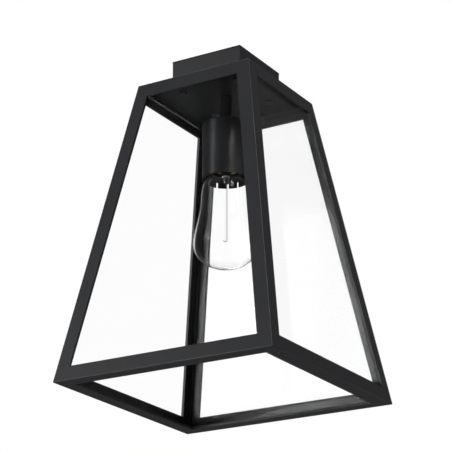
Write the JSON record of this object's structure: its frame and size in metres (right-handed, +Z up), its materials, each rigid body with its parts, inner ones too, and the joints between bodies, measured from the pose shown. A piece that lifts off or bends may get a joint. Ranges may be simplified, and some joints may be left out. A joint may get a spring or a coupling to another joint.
{
  "type": "porch ceiling lantern",
  "caption": "Square tapered porch lantern for a ceiling outlet box, open below, with clear panes in a black angle-bar cage and a pear-shaped lamp in a cup.",
  "frame": {"origin": "centre of the outlet-box hole pattern, on the ceiling plane", "axes": "+Z up, away from the lantern into the ceiling; the front of the cage faces -Y, and the crossbar lies on the diagonal from -X-Y to +X+Y"},
  "size_m": [0.2282, 0.2282, 0.3302],
  "materials": {
    "black_metal": "satin black powder coat",
    "black_screw": "black oxide",
    "pane_glass": "clear polished",
    "clear_sealant": "clear satin",
    "gasket_foam": "matt foam",
    "zinc_steel": "zinc plated",
    "green_screw": "green dyed",
    "socket_plastic": "moulded phenolic",
    "brass": "bright rolled",
    "lamp_glass": "clear blown",
    "mount_glass": "clear pressed",
    "lamp_insulator": "dark glassy",
    "solder": "dull tinned",
    "lamp_wire": "drawn wire",
    "black_insulation": "smooth",
    "white_insulation": "smooth",
    "green_insulation": "smooth",
    "connector_plastic": "moulded"
  },
  "bodies": {
    "lantern": {"ceiling_gasket": "gasket_foam", "canopy": "black_metal", "crossbar": "zinc_steel", "ground_screw": "green_screw", "mounting_screws": "black_screw", "plate_screws": "black_screw", "plate_nuts": "zinc_steel", "top_plate": "black_metal", "corner_post_front_right": "black_metal", "corner_post_back_right": "black_metal", "corner_post_back_left": "black_metal", "corner_post_front_left": "black_metal", "top_rail_front": "black_metal", "top_rail_right": "black_metal", "top_rail_back": "black_metal", "top_rail_left": "black_metal", "bottom_rail_front": "black_metal", "bottom_rail_right": "black_metal", "bottom_rail_back": "black_metal", "bottom_rail_left": "black_metal", "glass_pane_front": "pane_glass", "glass_pane_right": "pane_glass", "glass_pane_back": "pane_glass", "glass_pane_left": "pane_glass", "glazing_beads": "clear_sealant", "threaded_nipple": "zinc_steel", "lock_washer": "zinc_steel", "lock_nut": "zinc_steel", "stem": "black_metal", "socket_cup": "black_metal", "socket_cap": "socket_plastic", "socket_body": "socket_plastic", "screw_shell": "brass", "centre_contact": "brass", "terminal_screws": "brass", "black_lead": "black_insulation", "white_lead": "white_insulation", "ground_lead": "green_insulation", "wire_connectors": "connector_plastic"},
    "lamp": {"lamp_glass": "lamp_glass", "lamp_cap": "brass", "lamp_insulator": "lamp_insulator", "lamp_contact": "solder", "lamp_mount": "mount_glass", "support_wire": "lamp_wire", "lead_in_wires": "lamp_wire", "lamp_filament": "lamp_wire"}
  },
  "joints": [
    {"name": "lamp_removal", "type": "slide", "parent": "lantern", "child": "lamp", "axis": [0, 0, -1], "range_m": [0, 0.27]}
  ]
}
